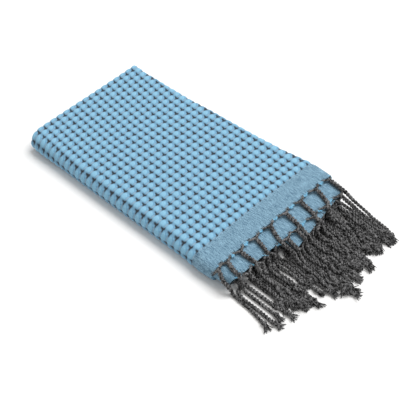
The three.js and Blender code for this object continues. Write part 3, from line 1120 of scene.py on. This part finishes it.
def cloth_material():
    """Honeycomb weave with dark dots in its pits, and a plain border of pale and dark threads"""
    material, tree, shader = set_up_material("honeycomb_cotton")
    make = Maker(tree)
    uv = make.node("ShaderNodeUVMap", uv_map="weave").outputs["UV"]
    split = make.node("ShaderNodeSeparateXYZ")
    make.put(split.inputs[0], uv)
    u = split.outputs["X"]
    v = split.outputs["Y"]
    p = make.math("WRAP", u, 0.5, -0.5)
    q = make.math("WRAP", v, 0.5, -0.5)
    du = make.math("ABSOLUTE", p)
    dv = make.math("ABSOLUTE", q)

    cell_noise = make.noise(uv, 1.3, 1)
    fine = make.noise(uv, 11, 3, 0.65)
    last = SHEET_LENGTH / CELL_LONG + CELL_START
    from_hem = make.math("MINIMUM", u, make.math("SUBTRACT", last, u))
    plain = make.step(from_hem, BORDER_CELLS + 0.1, BORDER_CELLS - 0.04)
    bare = make.math("SUBTRACT", 1, plain)

    # Dark dots, where the charcoal threads float in the pits
    dot_place = make.node("ShaderNodeCombineXYZ")
    make.put(dot_place.inputs["X"], p)
    make.put(dot_place.inputs["Y"], q)
    dot_place = dot_place.outputs["Vector"]
    arms = [make.arm(dot_place, **arm) for arm in DOT_ARMS]
    nearest = make.math("MINIMUM", make.math("MINIMUM", arms[0], arms[1]), arms[2])
    size = make.math("MULTIPLY_ADD", cell_noise, 0.12, -0.05)
    ragged = make.math("MULTIPLY_ADD", fine, 0.11, make.math("SUBTRACT", nearest, size))
    dot = make.math("MULTIPLY", make.step(ragged, 0.26, 0.11), bare)
    # A ring of painted shade in the pit round each dot
    painted_pit_shade = make.math("MULTIPLY", make.step(ragged, 0.38, 0.2), bare)

    # Pillows: mottled pale tops, darkened towards the valleys between them by painted shade, with a greyish
    # thread line from dot to dot
    pale = make.mix(make.step(fine, 0.3, 0.75), PILLOW_BLUE, PILLOW_PALE)
    # Painted shade, strongest in the valleys along the lines of dots
    painted_valley_shade = make.math("MULTIPLY", make.step(make.math("MINIMUM", du, dv), 0.3, 0.05), 0.75)
    colour = make.mix(painted_valley_shade, pale, PILLOW_VALLEY_SHADE)
    line = make.math("MULTIPLY", make.step(du, 0.1, 0.03), 0.7)
    colour = make.mix(line, colour, RIDGE_GREY)
    # Painted shade on one side of each pillow
    painted_shade_streak = make.arm(make.vector("SUBTRACT", dot_place, SHADE_STREAK_START), **SHADE_STREAK_ARM)
    colour = make.mix(make.math("MULTIPLY", make.step(painted_shade_streak, 0.1, 0.03), 0.6), colour, SHADE_STREAK_BLUE)
    colour = make.mix(make.math("MULTIPLY", painted_pit_shade, 0.4), colour, PIT_SHADE_BLUE)
    colour = make.mix(dot, colour, DOT_CHARCOAL)

    # Plain border: pale and dark threads side by side, with streaks along the warp
    streak = make.noise(make.scaled(uv, (1.2, 10, 1)), 1, 3, 0.65)
    fleck = make.noise(make.scaled(uv, (8, 9, 1)), 1, 2, 0.8)
    dark_thread = make.step(make.noise(make.scaled(uv, (0.5, 12, 1)), 1, 1), 0.58, 0.7)
    tone = make.math("ADD", make.math("MULTIPLY", streak, 0.5), make.math("MULTIPLY", fleck, 0.5))
    tone = make.math("MULTIPLY_ADD", dark_thread, -0.04, tone)
    chambray = make.mix(make.step(tone, 0.36, 0.64), BORDER_DARK, BORDER_PALE)
    make.put(shader.inputs["Base Color"], make.mix(plain, colour, chambray))

    shader.inputs["Roughness"].default_value = 0.92
    shader.inputs["Specular IOR Level"].default_value = 0.2
    shader.inputs["Sheen Weight"].default_value = 0.08
    shader.inputs["Sheen Roughness"].default_value = 0.5
    threads = make.math("MULTIPLY", make.math("MULTIPLY", streak, plain), 0.5)
    weave_height = make.math("MULTIPLY_ADD", fine, 0.6, threads)
    make.put(shader.inputs["Normal"], make.bump(weave_height, 0.5, 0.0006))
    return material


def spun_yarn():
    """The node group that every yarn shares: random flecks between its dark and light colour, the yarn's
    speckle together with painted shade and painted highlights, and its fibres as a height
    """
    group = bpy.data.node_groups.new("spun_yarn", "ShaderNodeTree")
    sockets = [
        ("Place", "INPUT", "NodeSocketVector"), ("Dark", "INPUT", "NodeSocketColor"),
        ("Light", "INPUT", "NodeSocketColor"), ("Color", "OUTPUT", "NodeSocketColor"),
        ("Fibres", "OUTPUT", "NodeSocketFloat"),
    ]
    for name, in_out, socket_type in sockets:
        group.interface.new_socket(name, in_out=in_out, socket_type=socket_type)
    make = Maker(group)
    given = make.node("NodeGroupInput").outputs
    result = make.node("NodeGroupOutput").inputs
    fleck = make.noise(given["Place"], 430, 2, 0.6)
    patch = make.noise(given["Place"], 120, 2, 0.5)
    # Random flecks from dark to light: the yarn's speckle, with painted shade and painted highlights
    tone = make.math("MULTIPLY_ADD", fleck, 0.75, make.math("MULTIPLY", patch, 0.25))
    make.put(result["Color"], make.mix(make.step(tone, 0.38, 0.63), given["Dark"], given["Light"]))
    make.put(result["Fibres"], fleck)
    return group


def strand_material(name, yarn_group, dyes):
    """Matte cotton yarn of one pair of colours, flecked with painted shade and painted highlights; the
    near-black core that paints groove shade is made with it too
    """
    material, tree, shader = set_up_material(name)
    make = Maker(tree)
    yarn = make.node("ShaderNodeGroup", node_tree=yarn_group)
    make.put(yarn.inputs["Place"], make.node("ShaderNodeTexCoord").outputs["Object"])
    yarn.inputs["Dark"].default_value = dyes[0]
    yarn.inputs["Light"].default_value = dyes[1]
    make.put(shader.inputs["Base Color"], yarn.outputs["Color"])
    shader.inputs["Roughness"].default_value = 0.9
    shader.inputs["Specular IOR Level"].default_value = 0.1
    shader.inputs["Sheen Weight"].default_value = 0.05
    make.put(shader.inputs["Normal"], make.bump(yarn.outputs["Fibres"], 0.5, 0.0004))
    return material


def floor_material():
    """Matte white, very slightly uneven"""
    material, tree, shader = set_up_material("pale_floor")
    make = Maker(tree)
    place = make.node("ShaderNodeTexCoord").outputs["Object"]
    grain = make.noise(place, 3, 2)
    make.put(shader.inputs["Base Color"], make.mix(grain, *FLOOR_WHITES))
    shader.inputs["Roughness"].default_value = 0.8
    shader.inputs["Specular IOR Level"].default_value = 0.1
    return material


# Studio

# In metres from the frame's origin. The lens is in millimetres.
CAMERA_TARGET = Vector((0.0231, -0.0454, 0.0278))
CAMERA_WAY = Vector((-0.4636, 0.4857, -0.7410))
CAMERA_DISTANCE = 1.247
CAMERA_LENS = 79.8

KEY_PLACE = Vector((0.6, 2.4, 4.5))
KEY_SIZE = 4.2
KEY_POWER = 262
SKY_COLOUR = (1, 0.985, 0.965, 1)
SKY_STRENGTH = 0.56
FLOOR_WHITES = ((0.9, 0.9, 0.9, 1), (0.915, 0.915, 0.915, 1))


def add_camera():
    data = bpy.data.cameras.new("camera")
    data.lens = CAMERA_LENS
    data.sensor_width = 36
    data.clip_end = 20
    camera = bpy.data.objects.new("camera", data)
    bpy.context.scene.collection.objects.link(camera)
    camera.location = CAMERA_TARGET - CAMERA_WAY.normalized() * CAMERA_DISTANCE
    camera.rotation_euler = CAMERA_WAY.to_track_quat("-Z", "Y").to_euler()
    bpy.context.scene.camera = camera


def add_key_light():
    """A large round softbox above the back of the towel, turned to the middle of the floor"""
    data = bpy.data.lights.new("key", "AREA")
    data.shape = "DISK"
    data.size = KEY_SIZE
    data.energy = KEY_POWER
    light = bpy.data.objects.new("key", data)
    bpy.context.scene.collection.objects.link(light)
    light.location = KEY_PLACE
    light.rotation_euler = (-KEY_PLACE).to_track_quat("-Z", "Y").to_euler()


def add_sky():
    world = bpy.data.worlds.new("studio")
    bpy.context.scene.world = world
    world.use_nodes = True
    background = world.node_tree.nodes["Background"]
    background.inputs["Color"].default_value = SKY_COLOUR
    background.inputs["Strength"].default_value = SKY_STRENGTH


def add_floor():
    bm = bmesh.new()
    bmesh.ops.create_grid(bm, x_segments=4, y_segments=4, size=4)
    mesh = bpy.data.meshes.new("floor")
    bm.to_mesh(mesh)
    bm.free()
    floor = new_piece("floor", mesh, [floor_material()])


def add_studio():
    add_sky()
    add_key_light()
    add_floor()
    bpy.context.scene.view_settings.view_transform = "Standard"


def add_cloth():
    cloth = new_piece("towel_cloth_woven", cloth_mesh(), [cloth_material()])
    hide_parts("towel_cloth")
    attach(cloth, "root")
    return cloth


def add_fringes_and_frays():
    """The two fringes, and the frays of the hems that show"""
    yarn = spun_yarn()
    charcoal = strand_material("charcoal_strand", yarn, CHARCOAL)
    grey = strand_material("grey_strand", yarn, GREY)
    # A near-black strand inside each cord, painted shade in its grooves
    groove_shade_core = strand_material("painted_groove_shade", yarn, GROOVE_SHADE_BLACK)
    blue = strand_material("blue_yarn", yarn, WEFT_BLUE)
    random = np.random.default_rng(7)
    routes = cord_routes(random)
    settled = settle(routes)
    pieces = []
    for hem in ("first", "second"):
        curve = new_curve("fringe_" + hem, 1)
        for route, points in zip(routes, settled):
            if route["hem"] == hem:
                twisted_cord(curve, route, points, random)
        name = f"fringe_{hem}_twisted"
        fringe = new_piece(name, curve_to_mesh(curve, name), [charcoal, grey, groove_shade_core])
        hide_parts(f"fringe_{hem}_hem")
        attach(fringe, "root")
        pieces.append(fringe)
    curve = new_curve("frays", 0)
    frays(curve, random)
    fray = new_piece("hem_frays", curve_to_mesh(curve, "hem_frays"), [blue])
    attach(fray, "root")
    pieces.append(fray)
    return pieces


def add_towel():
    cloth = add_cloth()
    sewn_on = add_fringes_and_frays()


add_camera()
add_studio()
add_towel()
